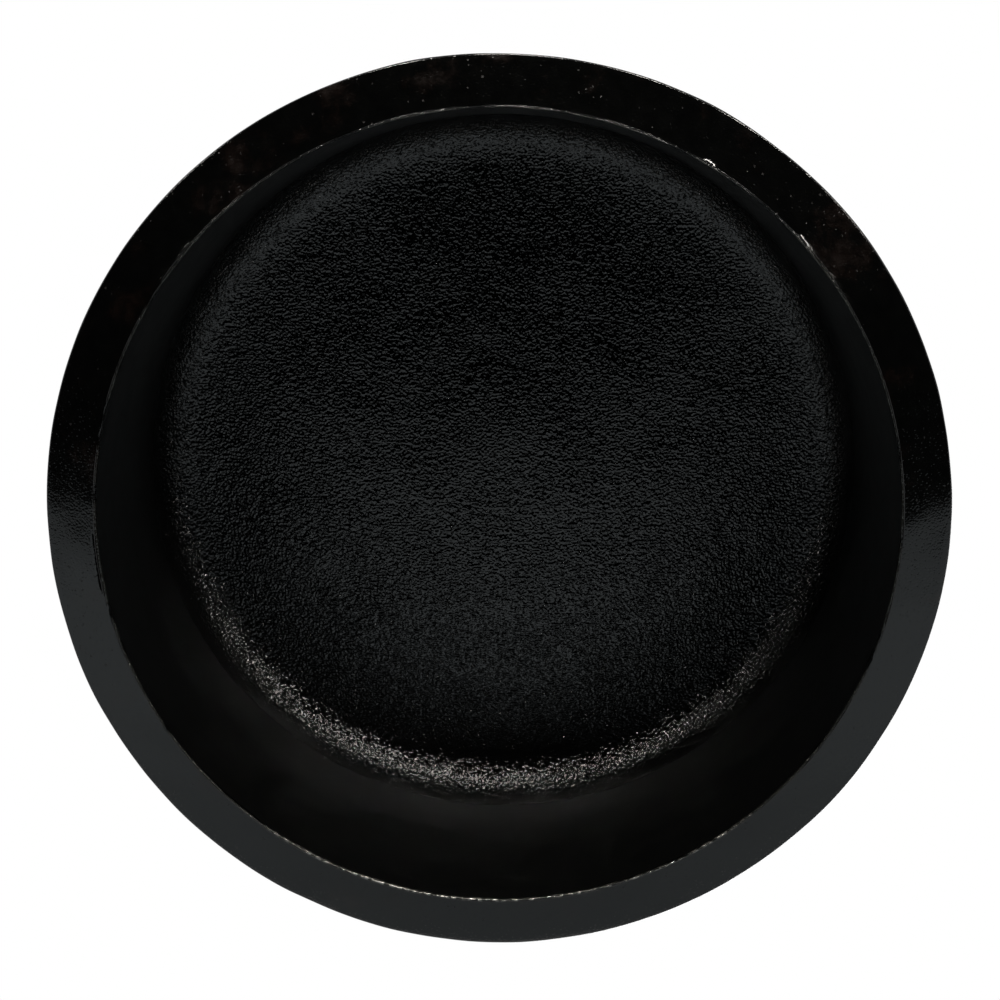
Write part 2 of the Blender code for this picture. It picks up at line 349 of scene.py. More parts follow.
def make_rub_group():
    """Where a turned edge at this radius and height is rubbed, with a ragged border."""
    group, given, result = new_group(
        "rubbed_edge", ["Radius", "Height", "Width", "Raggedness", "Patch Size"], ["Mask"]
    )
    where = position(group)
    radius, height = round_place(group, where)
    across = calc(group, "SUBTRACT", radius, given["Radius"])
    up = calc(group, "SUBTRACT", height, given["Height"])
    squares = calc(group, "ADD", calc(group, "MULTIPLY", across, across), calc(group, "MULTIPLY", up, up))
    patches = cloud(group, where, calc(group, "DIVIDE", 1.0, given["Patch Size"]), 4.0, 0.65)
    ragged = calc(group, "MULTIPLY", calc(group, "SUBTRACT", patches, 0.5), given["Raggedness"])
    away = calc(group, "ADD", calc(group, "SQRT", squares), ragged)
    half = calc(group, "MULTIPLY", given["Width"], 0.5)
    group.links.new(ramp(group, away, given["Width"], half), result["Mask"])
    return group


def make_grain_group():
    """The leathery skin that moulding sand leaves: fine rounded bumps with small deep holes between them."""
    group, given, result = new_group("sand_grain", ["Size"], ["Height"])
    where = position(group)
    per_metre = calc(group, "DIVIDE", 1.0, given["Size"])
    broad = cloud(group, where, calc(group, "MULTIPLY", per_metre, 0.40), 1.0)
    bumps = cloud(group, where, per_metre, 0.6, 0.6)
    scale = calc(group, "MULTIPLY", per_metre, 0.55)
    cells = node(group, "ShaderNodeTexVoronoi", {"Vector": where, "Scale": scale, "Randomness": 1.0})
    holes = ramp(group, cells.outputs["Distance"], 0.30, 0.10)
    height = calc(group, "ADD", calc(group, "MULTIPLY", bumps, 0.72), calc(group, "MULTIPLY", broad, 0.45))
    group.links.new(calc(group, "SUBTRACT", height, calc(group, "MULTIPLY", holes, 0.45)), result["Height"])
    return group


def make_pit_group():
    """Scattered round pits. Share is how many of the possible places hold one."""
    group, given, result = new_group("pits", ["Spacing", "Share"], ["Mask"])
    where = position(group)
    scale = calc(group, "DIVIDE", 1.0, given["Spacing"])
    cells = node(group, "ShaderNodeTexVoronoi", {"Vector": where, "Scale": scale, "Randomness": 1.0})
    chance = node(group, "ShaderNodeSeparateColor", {0: cells.outputs["Color"]}).outputs
    size = calc(group, "ADD", 0.10, calc(group, "MULTIPLY", chance[1], 0.16))
    shape = ramp(group, calc(group, "DIVIDE", cells.outputs["Distance"], size), 1.0, 0.4)
    chosen = calc(group, "LESS_THAN", chance[0], given["Share"])
    group.links.new(calc(group, "MULTIPLY", shape, chosen), result["Mask"])
    return group


def make_tarnish_group():
    """Brass weathered out of doors: clean in places, brown over most of it, a little green in patches."""
    inputs = ["Clean Colour", "Brown Colour", "Green Colour", "Patch Size", "Amount"]
    group, given, result = new_group("tarnish", inputs, ["Colour", "Mask"])
    where = position(group)
    per_metre = calc(group, "DIVIDE", 1.0, given["Patch Size"])
    broad = cloud(group, where, per_metre, 5.0, 0.62)
    fine = cloud(group, where, calc(group, "MULTIPLY", per_metre, 6.0), 3.0, 0.6)
    blend = calc(group, "ADD", calc(group, "MULTIPLY", broad, 0.7), calc(group, "MULTIPLY", fine, 0.3))
    start = calc(group, "SUBTRACT", 0.86, calc(group, "MULTIPLY", given["Amount"], 0.70))
    brown = ramp(group, blend, start, calc(group, "ADD", start, 0.22))
    green = ramp(group, calc(group, "MULTIPLY", broad, fine), 0.30, 0.42)
    colour = mix(group, brown, given["Clean Colour"], given["Brown Colour"])
    greened = mix(group, calc(group, "MULTIPLY", green, given["Amount"]), colour, given["Green Colour"])
    group.links.new(greened, result["Colour"])
    group.links.new(brown, result["Mask"])
    return group


def make_tool_group():
    """The fine rings that a lathe tool leaves round the Z axis."""
    group, given, result = new_group("tool_rings", ["Pitch"], ["Height"])
    where = position(group)
    radius, _ = round_place(group, where)
    turns = calc(group, "MULTIPLY", calc(group, "DIVIDE", radius, given["Pitch"]), math.tau)
    drift = cloud(group, where, 90.0, 2.0)
    wave = calc(group, "SINE", calc(group, "ADD", turns, calc(group, "MULTIPLY", drift, 5.0)))
    group.links.new(calc(group, "MULTIPLY", wave, drift), result["Height"])
    return group


def make_dust_group():
    """Grey garden dust that has settled on what faces up."""
    group, given, result = new_group("dust", ["Patch Size", "Amount"], ["Mask"])
    where = position(group)
    normal = node(group, "ShaderNodeNewGeometry").outputs["Normal"]
    facing = node(group, "ShaderNodeSeparateXYZ", {0: normal})
    up = ramp(group, facing.outputs[2], 0.25, 0.95)
    patches = cloud(group, where, calc(group, "DIVIDE", 1.0, given["Patch Size"]), 6.0, 0.68)
    settled = calc(group, "MULTIPLY", up, ramp(group, patches, 0.38, 0.75))
    group.links.new(calc(group, "MULTIPLY", settled, given["Amount"]), result["Mask"])
    return group


rub_group = make_rub_group()
grain_group = make_grain_group()
pit_group = make_pit_group()
tarnish_group = make_tarnish_group()
tool_group = make_tool_group()
dust_group = make_dust_group()


def new_finish(name, **constants):
    """A material and its Principled shader, with the values that are the same all over the surface."""
    made = bpy.data.materials.new(name)
    made.use_nodes = True
    shader = made.node_tree.nodes["Principled BSDF"]
    for key, value in constants.items():
        shader.inputs[key.replace("_", " ")].default_value = value
    return made, made.node_tree, shader


def connect(tree, shader, **sources):
    """Feeds the shader's inputs, given by name with _ for a space."""
    for key, source in sources.items():
        tree.links.new(source, shader.inputs[key.replace("_", " ")])


def bump(tree, height, distance, normal=None):
    """Raises the surface by distance metres where height is 1."""
    values = {"Height": height, "Distance": distance, "Strength": 1.0}
    if normal:
        values["Normal"] = normal
    return node(tree, "ShaderNodeBump", values).outputs[0]


# Finishes


BLACK_ENAMEL = (0.0010, 0.0011, 0.0011, 1)
THIN_ENAMEL = (0.0022, 0.0023, 0.0022, 1)
RUST = (0.030, 0.0095, 0.0045, 1)
ENAMEL_DUST = (0.17, 0.155, 0.13, 1)
DULL_IRON = (0.050, 0.051, 0.047, 1)
# bright bare iron, used only for the painted glints along the south of the standing edge
BARE_IRON_GLINT = (0.42, 0.41, 0.38, 1)
WORN_EDGES = (  # radius, height, width, raggedness, patch size
    (MOUTH_R + 0.0001, 0.0, 0.00036, 0.0007, 0.004),
    (FOOT_R - FASCIA_LEAN, FASCIA_TOP, 0.0009, 0.0042, 0.007),
    (RIM_R, RIM_TOP, 0.0008, 0.0042, 0.006),
    (SEAT_R, RIM_TOP, 0.0006, 0.0028, 0.005),
)
STANDING_EDGE = (MOUTH_R - 0.0002, 0.0, 0.0010, 0.0, 0.01)


def rubbed(tree, radius, height, width, raggedness, patch_size):
    """The mask of one rubbed edge."""
    sizes = {"Radius": radius, "Height": height, "Width": width, "Raggedness": raggedness}
    return use(tree, rub_group, Patch_Size=patch_size, **sizes)["Mask"]


def enamel_zones(tree, radius, height):
    """Masks of the whole hollow, and of its closed end."""
    low = calc(tree, "LESS_THAN", height, HOLLOW_TOP)
    inside = calc(tree, "MULTIPLY", calc(tree, "LESS_THAN", radius, MOUTH_R), low)
    end = ramp(tree, height, HOLLOW_WALL_H - 0.003, HOLLOW_WALL_H + 0.002)
    return inside, calc(tree, "MULTIPLY", inside, end)


def enamel_wear(tree, where):
    """Masks of the edges worn to dull iron, of the edge that the drum stands on, and of bright bare-iron spots
    along the south of that edge. These spots are painted glints, kept to the south where the lamps' highlight
    runs."""
    worn = 0.0
    for edge in WORN_EDGES:
        worn = calc(tree, "MAXIMUM", worn, rubbed(tree, *edge))
    standing = rubbed(tree, *STANDING_EDGE)
    spots = ramp(tree, cloud(tree, where, 800.0, 1.0), 0.50, 0.60)
    north = node(tree, "ShaderNodeSeparateXYZ", {0: where}).outputs["Y"]
    # painted glints: bare-iron spots on the standing edge, kept to its south side where the lamps' highlight falls
    scuffs_and_glints = calc(tree, "MULTIPLY", standing, spots)
    scuffs_and_glints = calc(tree, "MULTIPLY", scuffs_and_glints, ramp(tree, north, -0.070, -0.086))
    return worn, standing, scuffs_and_glints


def enamel_normal(tree, where, radius, inside, end, standing, pits):
    """The leathery grain of the closed end, which is steeper in the corner, a finer skin on the rest, a
    knocked standing edge, and pits."""
    grain = use(tree, grain_group, Size=0.00065)["Height"]
    skin = use(tree, grain_group, Size=0.00050)["Height"]
    steepness = calc(tree, "MULTIPLY", end, ramp(tree, radius, 0.0750, 0.0790, 1.0, 1.3))
    coarse = bump(tree, calc(tree, "MULTIPLY", grain, steepness), 0.00037)
    outer = rest(tree, calc(tree, "MULTIPLY", inside, 0.60))
    skin_share = calc(tree, "MULTIPLY", outer, rest(tree, end))
    fine = bump(tree, calc(tree, "MULTIPLY", skin, skin_share), 0.00004, normal=coarse)
    knocks = calc(tree, "MULTIPLY", standing, cloud(tree, where, 620.0, 2.0))
    knocked = bump(tree, knocks, 0.00060, normal=fine)
    return bump(tree, rest(tree, pits), 0.00002, normal=knocked)


def make_black_enamel():
    """Black stove enamel on cast iron. It is glossiest over the leathery end of the hollow, duller on the
    wall, and worn to the iron along its edges."""
    made, tree, shader = new_finish("black_enamel", IOR=1.5)
    where = position(tree)
    radius, height = round_place(tree, where)
    inside, end = enamel_zones(tree, radius, height)
    wall = calc(tree, "MULTIPLY", inside, rest(tree, end))
    worn, standing, scuffs_and_glints = enamel_wear(tree, where)

    peel = cloud(tree, where, 260.0, 2.0)
    pits = use(tree, pit_group, Spacing=0.0017, Share=0.20)["Mask"]
    pits = calc(tree, "MULTIPLY", pits, rest(tree, inside))
    blotches = ramp(tree, cloud(tree, where, 55.0, 6.0, 0.7), 0.52, 0.74)
    rust = calc(tree, "MULTIPLY", blotches, rest(tree, inside))
    rust = calc(tree, "MAXIMUM", rust, calc(tree, "MULTIPLY", pits, 0.35))
    dust = use(tree, dust_group, Patch_Size=0.018, Amount=0.30)["Mask"]

    shade = mix(tree, peel, BLACK_ENAMEL, THIN_ENAMEL)
    stain = calc(tree, "MULTIPLY", rust, 0.16)
    # the bare-iron spots along the south of the standing edge are painted glints, not wear
    for share, colour in ((stain, RUST), (dust, ENAMEL_DUST), (worn, DULL_IRON), (scuffs_and_glints, BARE_IRON_GLINT)):
        shade = mix(tree, share, shade, colour)

    rough = ramp(tree, peel, 0.3, 0.7, 0.085, 0.115)
    for mask, more in ((end, -0.035), (wall, 0.20), (worn, 0.18), (pits, 0.25), (rust, 0.16), (dust, 0.5)):
        rough = calc(tree, "ADD", rough, calc(tree, "MULTIPLY", mask, more), clamp=True)

    connect(
        tree,
        shader,
        Base_Color=shade,
        Roughness=rough,
        Metallic=calc(tree, "MAXIMUM", calc(tree, "MULTIPLY", worn, 0.85), scuffs_and_glints),
        Normal=enamel_normal(tree, where, radius, inside, end, standing, pits),
    )
    return made


CLEAN_BRASS = (0.62, 0.43, 0.17, 1)
BROWN_BRASS = (0.19, 0.115, 0.050, 1)
GREEN_BRASS = (0.105, 0.165, 0.115, 1)
RING_BRASS = (0.40, 0.26, 0.10, 1)
RING_BROWN = (0.085, 0.055, 0.030, 1)
RELIEF_BRASS = (0.80, 0.58, 0.25, 1)
FASTENER_BRASS = (0.70, 0.50, 0.20, 1)
BRASS_DUST = (0.20, 0.18, 0.14, 1)


def make_brass(name, clean, brown, patch_size, amount, pitch=0, dust_amount=0.0):
    """Weathered brass. pitch is the spacing of the lathe's rings, or 0 for a piece that was filed."""
    made, tree, shader = new_finish(name)
    where = position(tree)
    colours = {"Clean_Colour": clean, "Brown_Colour": brown, "Green_Colour": GREEN_BRASS}
    aged = use(tree, tarnish_group, Patch_Size=patch_size, Amount=amount, **colours)
    dust = use(tree, dust_group, Patch_Size=0.012, Amount=dust_amount)["Mask"]
    colour = mix(tree, dust, aged["Colour"], BRASS_DUST)
    smear = cloud(tree, where, 140.0, 4.0, 0.6)
    satin = ramp(tree, smear, 0.3, 0.7, 0.26, 0.36)
    rough = calc(tree, "ADD", satin, calc(tree, "MULTIPLY", aged["Mask"], 0.20))
    rough = calc(tree, "ADD", rough, calc(tree, "MULTIPLY", dust, 0.4), clamp=True)
    metal = calc(tree, "SUBTRACT", 1.0, calc(tree, "MULTIPLY", aged["Mask"], 0.35))
    metal = calc(tree, "SUBTRACT", metal, dust, clamp=True)
    file_marks = cloud(tree, where, 1500.0, 2.0)
    normal = bump(tree, file_marks, 0.00003)
    if pitch:
        normal = bump(tree, use(tree, tool_group, Pitch=pitch)["Height"], 0.000012, normal=normal)
    connect(tree, shader, Base_Color=colour, Roughness=rough, Metallic=metal, Normal=normal)
    return made


def make_washer_steel():
    """Grey steel with a few rusty spots."""
    made, tree, shader = new_finish("washer_steel", Metallic=1.0)
    where = position(tree)
    spots = cloud(tree, where, 420.0, 4.0, 0.6)
    connect(
        tree,
        shader,
        Base_Color=mix(tree, ramp(tree, spots, 0.5, 0.7), grey(0.50), (0.30, 0.22, 0.16, 1)),
        Roughness=ramp(tree, spots, 0.3, 0.7, 0.28, 0.5),
        Normal=bump(tree, cloud(tree, where, 2600.0, 1.0), 0.00002),
    )
    return made


def make_felt():
    """Black felt."""
    made, tree, shader = new_finish("felt", Roughness=0.95, Sheen_Weight=0.3)
    where = position(tree)
    fibres = cloud(tree, where, 2400.0, 5.0, 0.75)
    connect(
        tree,
        shader,
        Base_Color=mix(tree, fibres, grey(0.020), grey(0.075)),
        Normal=bump(tree, fibres, 0.0002),
    )
    return made


def make_floor_paint(name, gap=None):
    """Pale floor paint, which isn't there from underneath. With a gap, rays no longer than it pass through
    the paint from above, so that light from below reaches the foot and nothing else."""
    made, tree, shader = new_finish(name, Roughness=0.75)
    where = position(tree)
    shade = cloud(tree, where, 3.0, 3.0)
    connect(
        tree,
        shader,
        Base_Color=mix(tree, shade, grey(0.70), grey(0.74)),
        Normal=bump(tree, cloud(tree, where, 900.0, 2.0), 0.00005),
    )
    under = node(tree, "ShaderNodeBsdfTransparent").outputs[0]
    clear = node(tree, "ShaderNodeNewGeometry").outputs["Backfacing"]
    if gap:
        path = node(tree, "ShaderNodeLightPath").outputs
        far = calc(tree, "GREATER_THAN", path["Ray Length"], gap)
        outside = calc(tree, "GREATER_THAN", round_place(tree, where)[0], FOOT_R)
        far = calc(tree, "MULTIPLY", far, outside)
        covered = calc(tree, "MAXIMUM", path["Is Camera Ray"], far)
        clear = calc(tree, "MAXIMUM", clear, rest(tree, covered))
    both = node(tree, "ShaderNodeMixShader", {0: clear, 1: shader.outputs[0], 2: under}).outputs[0]
    tree.links.new(both, tree.nodes["Material Output"].inputs["Surface"])
    return made


enamel = make_black_enamel()
plate_brass = make_brass("plate_brass", CLEAN_BRASS, BROWN_BRASS, 0.030, 0.80, 0.00055, 0.16)
ring_brass = make_brass("ring_brass", RING_BRASS, RING_BROWN, 0.016, 0.92, dust_amount=0.20)
relief_brass = make_brass("relief_brass", RELIEF_BRASS, BROWN_BRASS, 0.011, 0.40)
gnomon_brass = make_brass("gnomon_brass", CLEAN_BRASS, BROWN_BRASS, 0.022, 0.66, dust_amount=0.10)
fastener_brass = make_brass("fastener_brass", FASTENER_BRASS, BROWN_BRASS, 0.006, 0.48, dust_amount=0.06)
washer_steel = make_washer_steel()
felt = make_felt()
floor_paint = make_floor_paint("floor_paint")
lid_paint = make_floor_paint("lid_paint", gap=0.012)


# The drum


def hollow_profile():
    """From the middle of the hollow's end out to the edge that the drum stands on."""
    corner_x = MOUTH_R - HOLLOW_WALL_H * math.tan(DRAFT) - CORNER_R * math.cos(DRAFT)
    corner_z = HOLLOW_WALL_H - CORNER_R * math.sin(DRAFT)
    corner = arc((corner_x, corner_z), CORNER_R, 90 - math.degrees(EASE_TILT), math.degrees(DRAFT), 18)
    start_r, start_z = corner[0]
    drop = (start_r - EASE_R) * math.tan(EASE_TILT) / 2
    end = []
    for radius, _ in straight((0, 0), (start_r, 0), 34):
        share = radius / start_r
        eased = max(0.0, (radius - EASE_R) / (start_r - EASE_R))
        swell = END_SWELL * (1 - share * share) ** 2
        end.append((radius, start_z + drop * (1 - eased * eased) - swell))
    edge = 0.00045  # radius of the edge between the wall and the land
    wall_end = (MOUTH_R - edge * math.tan(DRAFT), edge)
    wall = straight(corner[-1], wall_end, 22)[1:]
    return end + corner + wall + arc((wall_end[0] + edge, edge), edge, 180, 285, 6)


def outside_profile():
    """From the edge that the drum stands on, up the outside and over the rim to the middle of the deck."""
    edge_r, nose_r, lip_r, seat_edge = 0.0012, 0.0006, FOOT_R - FASCIA_LEAN, 0.0004
    land_edge = 0.00018
    foot = straight((MOUTH_R + LAND_W, land_edge), (FOOT_R - nose_r, FOOT_RISE - nose_r / 2), 9)
    nose = arc((FOOT_R - nose_r, FOOT_RISE + nose_r / 2), nose_r, -70, 0, 4)
    face = straight(nose[-1], (lip_r, FASCIA_TOP - edge_r), 4)[1:]
    fascia = arc((lip_r - edge_r, FASCIA_TOP - edge_r), edge_r, 0, 90, 5)
    cove = ogee((lip_r - 3 * edge_r, FASCIA_TOP), WALL_BOTTOM, 12)
    wall = straight(WALL_BOTTOM, WALL_TOP, 14)[1:]
    throat = ogee(WALL_TOP, (RIM_R, RIM_BOTTOM), 12)
    band = straight((RIM_R, RIM_BOTTOM), (RIM_R, RIM_TOP - edge_r), 4)[1:]
    rim = arc((RIM_R - edge_r, RIM_TOP - edge_r), edge_r, 0, 90, 5)
    top = straight(rim[-1], (SEAT_R + seat_edge, RIM_TOP), 6)[1:]
    seat = [(SEAT_R + seat_edge, RIM_TOP), (SEAT_R, RIM_TOP - seat_edge), (SEAT_R, DECK_Z)]
    deck = [(0.060, DECK_Z), (0, DECK_Z)]
    return foot + nose + face + fascia + cove + wall + throat + band + rim + top + seat + deck


def ripple(place):
    """How far the casting stands proud of its pattern at a place, in metres."""
    broad = noise.noise(place / 0.024) * 0.00026
    short = noise.noise(place / 0.0095 + Vector((7, 3, 1))) * 0.00010
    machined = place.z > DECK_Z - 0.001
    return (broad + short) * (0.12 if machined else 1.0)


def chip_foot(bm):
    """Nicks the edge that the drum stands on, which is bare iron and knocked about."""
    rng = random.Random(12)
    nicks = []
    for _ in range(46):
        nicks.append((rng.uniform(0, math.tau), rng.uniform(0.0012, 0.0034), rng.uniform(0.1, 1) ** 2))
    for vert in bm.verts:
        radius = vert.co.xy.length
        near = max(0.0, 1 - abs(radius - MOUTH_R) / 0.0013) * max(0.0, 1 - vert.co.z / 0.0022)
        if near == 0:
            continue
        angle = math.atan2(vert.co.y, vert.co.x)
        depth = 0.0
        for where, width, size in nicks:
            off = (angle - where + math.pi) % math.tau - math.pi
            depth = max(depth, size * math.exp(-((off * MOUTH_R / width) ** 2)))
        vert.co.z += 0.00028 * depth * near
        vert.co.xy *= 1 + 0.0005 * depth * near / MOUTH_R


def make_drum():
    """The cast drum, with the holes that the buttons' screws go into."""
    bm = turned(hollow_profile() + outside_profile(), DRUM_STEPS)
    for vert in bm.verts:
        vert.co += vert.normal * ripple(vert.co)
    chip_foot(bm)
    for vert in bm.verts:
        vert.co.z = max(vert.co.z, 0.0)
    drum = finish_mesh("drum_casting", bm, enamel)
    holes = []
    for joint in BUTTON_JOINTS:
        low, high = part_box("button_screw_1")[0].z - HEAD_GAP, RIM_TOP + 0.01
        profile = [(0, low), (SCREW_HOLE_R, low), (SCREW_HOLE_R, high), (0, high)]
        hole = finish_mesh("hole", turned(profile, 32), None)
        hole.location = (joint["pos_m"][0], joint["pos_m"][1], 0)
        holes.append(hole)
    bpy.context.view_layer.update()
    carve(drum, *holes)
    place(drum, "base", "black_enamel", "base_casting")


# The dial


def make_plate():
    """The dial plate, turned with two fine grooves inside the turn-buttons' reach."""
    edge, groove = 0.0004, 0.00035
    profile = [(0, PLATE_BOTTOM), (PLATE_R - edge, PLATE_BOTTOM), (PLATE_R, PLATE_BOTTOM + edge)]
    profile += arc((PLATE_R - edge, PLATE_TOP - edge), edge, 0, 90, 3)
    for radius in (RING_R + 0.0023, RING_R + 0.0011):
        profile += [(radius + groove, PLATE_TOP), (radius, PLATE_TOP - groove), (radius - groove, PLATE_TOP)]
    profile += [(RING_R - 0.002, PLATE_TOP), (0.045, PLATE_TOP), (0.020, PLATE_TOP), (0, PLATE_TOP)]
    plate = finish_mesh("dial_plate_turned", turned(profile, DIAL_STEPS), plate_brass)
    place(plate, "dial", "dial_brass", "dial_plate")


def make_ring():
    """The chapter ring, with raised borders between its bands."""
    edge, rib_w, rib_h = 0.0004, 0.0003, 0.0004
    profile = [(RING_INNER_R, RING_BOTTOM), (RING_R, RING_BOTTOM)]
    profile += arc((RING_R - edge, RING_TOP - edge), edge, 0, 90, 3)
    for radius in reversed(BORDERS_R):
        profile += [
            (radius + rib_w, RING_TOP),
            (radius + rib_w * 0.5, RING_TOP + rib_h),
            (radius - rib_w * 0.5, RING_TOP + rib_h),
            (radius - rib_w, RING_TOP),
        ]
    profile += [(RING_INNER_R, RING_TOP - edge / 2)]
    ring = finish_mesh("chapter_ring_cast", turned(profile, DIAL_STEPS), ring_brass)
    place(ring, "dial", "dial_brass", "chapter_ring")


def hour_direction(hour):
    """The direction of an hour's shadow on the plate, and the corner of the gnomon's toe that casts it."""
    turn = math.radians(15 * (hour - 12))
    east = math.sin(LATITUDE) * math.sin(turn)
    north = math.cos(turn)
    side = 0 if hour == 12 else math.copysign(FIN_T / 2, hour - 12)
    return Vector((east, north)).normalized(), Vector((side, TOE_Y))


def reach(hour, radius):
    """Where an hour's line crosses a circle round the dial's centre."""
    along, start = hour_direction(hour)
    middle = start.dot(along)
    return start + along * (math.sqrt(middle * middle - start.length_squared + radius * radius) - middle)


def add_bar(bm, start, end, width, bottom, top):
    """Adds a straight bar between two places on the dial."""
    across = (end - start).normalized()
    across = Vector((-across.y, across.x)) * width / 2
    add_prism(bm, [start + across, start - across, end - across, end + across], bottom, top)


def make_hour_lines():
    """Raised lines from near the toe to the chapter ring, and the ticks between the hours."""
    bm = bmesh.new()
    bottom, top = PLATE_TOP - ROOT, PLATE_TOP + RELIEF * 0.7
    for hour in NUMERALS:
        if hour == 12:
            continue
        along, start = hour_direction(hour)
        add_bar(bm, start + along * 0.0150, reach(hour, RING_INNER_R - 0.0006), 0.0005, bottom, top)
    lines = finish_mesh("hour_lines", bm, relief_brass)
    ease_edges(lines, RELIEF_EASE, 1)
    place(lines, "dial", "dial_brass")

    bm = bmesh.new()
    low, high = TICK_BAND
    for quarter in range(4 * 5, 4 * 19 + 1):
        hour = quarter / 4
        inner = low if quarter % 2 == 0 else (low + high) / 2
        width = 0.0006 if quarter % 4 == 0 else 0.0004
        start, end = reach(hour, inner), reach(hour, high)
        add_bar(bm, start, end, width, RING_TOP - ROOT, RING_TOP + RELIEF * 0.8)
    ticks = finish_mesh("quarter_ticks", bm, relief_brass)
    ease_edges(ticks, RELIEF_EASE, 1)
    place(ticks, "dial", "dial_brass")


def letter_strokes(letter):
    """A Roman letter's strokes for a height of 1, as outlines, and how wide the letter is."""
    thick, thin, serif = 0.17, 0.075, 0.065

    def slant(x0, x1, width):
        return [(x0 - width / 2, 0), (x0 + width / 2, 0), (x1 + width / 2, 1), (x1 - width / 2, 1)]

    def foot(x, y, width):
        left, right = x - width / 2, x + width / 2
        return [(left, y), (right, y), (right, y + serif), (left, y + serif)]

    if letter == "I":
        return [slant(0.20, 0.20, thick), foot(0.20, 0, 0.36), foot(0.20, 1 - serif, 0.36)], 0.42
    if letter == "V":
        strokes = [slant(0.42, 0.16, thick), slant(0.42, 0.68, thin)]
        return strokes + [foot(0.16, 1 - serif, 0.32), foot(0.68, 1 - serif, 0.24)], 0.86
    strokes = [slant(0.68, 0.16, thick), slant(0.16, 0.68, thin)]
    for x, width in ((0.16, 0.26), (0.68, 0.30)):
        strokes += [foot(x, 0, width), foot(x, 1 - serif, width)]
    return strokes, 0.86


def make_numerals():
    """The hours in raised Roman numerals, with their feet towards the dial's centre."""
    for hour, letters in NUMERALS.items():
        bm = bmesh.new()
        centre = reach(hour, NUMERAL_R)
        widths = [letter_strokes(letter)[1] for letter in letters]
        pen = -sum(widths) / 2
        turn = math.atan2(centre.y, centre.x) - math.pi / 2
        size = Matrix.Diagonal((NUMERAL_H, NUMERAL_H, 1, 1))
        spot = Matrix.Translation(centre.to_3d()) @ Matrix.Rotation(turn, 4, "Z") @ size
        for letter, width in zip(letters, widths):
            for number, outline in enumerate(letter_strokes(letter)[0]):
                moved = [(x + pen, y - 0.5) for x, y in outline]
                top = RING_TOP + RELIEF * (1.3 - 0.02 * number)
                add_prism(bm, moved, RING_TOP - ROOT, top, spot)
            pen += width
        numeral = finish_mesh(f"numeral_{hour:02d}", bm, relief_brass)
        ease_edges(numeral, RELIEF_EASE, 1)
        place(numeral, "dial", "dial_brass")


def make_compass_rose():
    """A small eight-pointed star south of the gnomon, each point a ridge, inside a ring."""
    bm = bmesh.new()
    outer, inner, height = 0.0125, 0.0036, 0.0011
    bottom = PLATE_TOP - ROOT
    peak = bm.verts.new((0, 0, PLATE_TOP + height))
    base = bm.verts.new((0, 0, bottom))
    tips = []
    for i in range(16):
        long_point = i % 4 == 0
        radius = (outer if long_point else outer * 0.62) if i % 2 == 0 else inner
        a = math.tau * i / 16
        tips.append(bm.verts.new((radius * math.cos(a), radius * math.sin(a), bottom)))
    for first, second in zip(tips, tips[1:] + tips[:1]):
        bm.faces.new((first, second, peak))
        bm.faces.new((second, first, base))
    star = finish_mesh("compass_star", bm, relief_brass, smooth_angle=5)
    ring_r, half_w = outer + 0.0020, 0.0004
    profile = [
        (ring_r - half_w, bottom),
        (ring_r + half_w, bottom),
        (ring_r + half_w * 0.5, PLATE_TOP + RELIEF),
        (ring_r - half_w * 0.5, PLATE_TOP + RELIEF),
    ]
    ring = finish_mesh("compass_ring", turned(profile, 96), relief_brass)
    for piece in (star, ring):
        piece.location.y = TOE_Y - 0.0185
        place(piece, "dial", "dial_brass")


def make_gnomon():
    """The cast gnomon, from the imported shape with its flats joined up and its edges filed."""
    bm = bmesh.new()
    bm.from_mesh(frame["nodes"]["gnomon"].data)
    bmesh.ops.remove_doubles(bm, verts=bm.verts, dist=0.00001)
    bmesh.ops.dissolve_limit(bm, angle_limit=math.radians(2), verts=bm.verts, edges=bm.edges)
    gnomon = finish_mesh("gnomon_casting", bm, gnomon_brass, smooth_angle=30)
    ease_edges(gnomon, 0.00045, 3)
    place(gnomon, "dial", "dial_brass", "gnomon")


def make_rivets():
    """The domed rivets that hold the chapter ring."""
    for number in range(1, 7):
        name = f"ring_rivet_{number}"
        low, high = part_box(name)
        centre = (low + high) / 2
        head = RING_TOP + HEAD_GAP
        rise = high.z - head
        angles = [step * math.pi / 12 for step in range(6)]
        dome = [(RIVET_HEAD_R * math.cos(a), head + rise * math.sin(a)) for a in angles]
        shank = [(0, low.z), (RIVET_R, low.z), (RIVET_R, head), (RIVET_HEAD_R, head - ROOT)]
        rivet = finish_mesh(f"{name}_domed", turned([*shank, *dome, (0, high.z)], 32), fastener_brass)
        rivet.location = (centre.x, centre.y, 0)
        place(rivet, "dial", "fastener_brass", name)


# The turn-buttons


def make_button(number, joint):
    """A turn-button, which turns on its joint over the edge of the plate."""
    x, y, _ = joint["pos_m"]
    low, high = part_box(f"turn_button_{number}")
    thickness = high.z - low.z
    outline = capsule(-BUTTON_NOSE, BUTTON_TAIL, BUTTON_W / 2)
    button = finish_mesh("cut_button", extruded(outline, thickness), None)
    bore = finish_mesh("bore", turned([(0, -1), (SCREW_HOLE_R, -1), (SCREW_HOLE_R, 1), (0, 1)], 40), None)
    bpy.context.view_layer.update()
    carve(button, bore)
    button.data.shade_smooth()
    button.data.set_sharp_from_angle(angle=math.radians(SHARP_ANGLE))
    button.data.materials.clear()
    button.data.materials.append(fastener_brass)
    button.name = f"button_bar_{number}"
    button.location = (x, y, low.z)
    button.rotation_euler.z = math.atan2(y, x)
    ease_edges(button, 0.0004, 3)
    place(button, f"turn_button_{number}", "fastener_brass", f"turn_button_{number}")


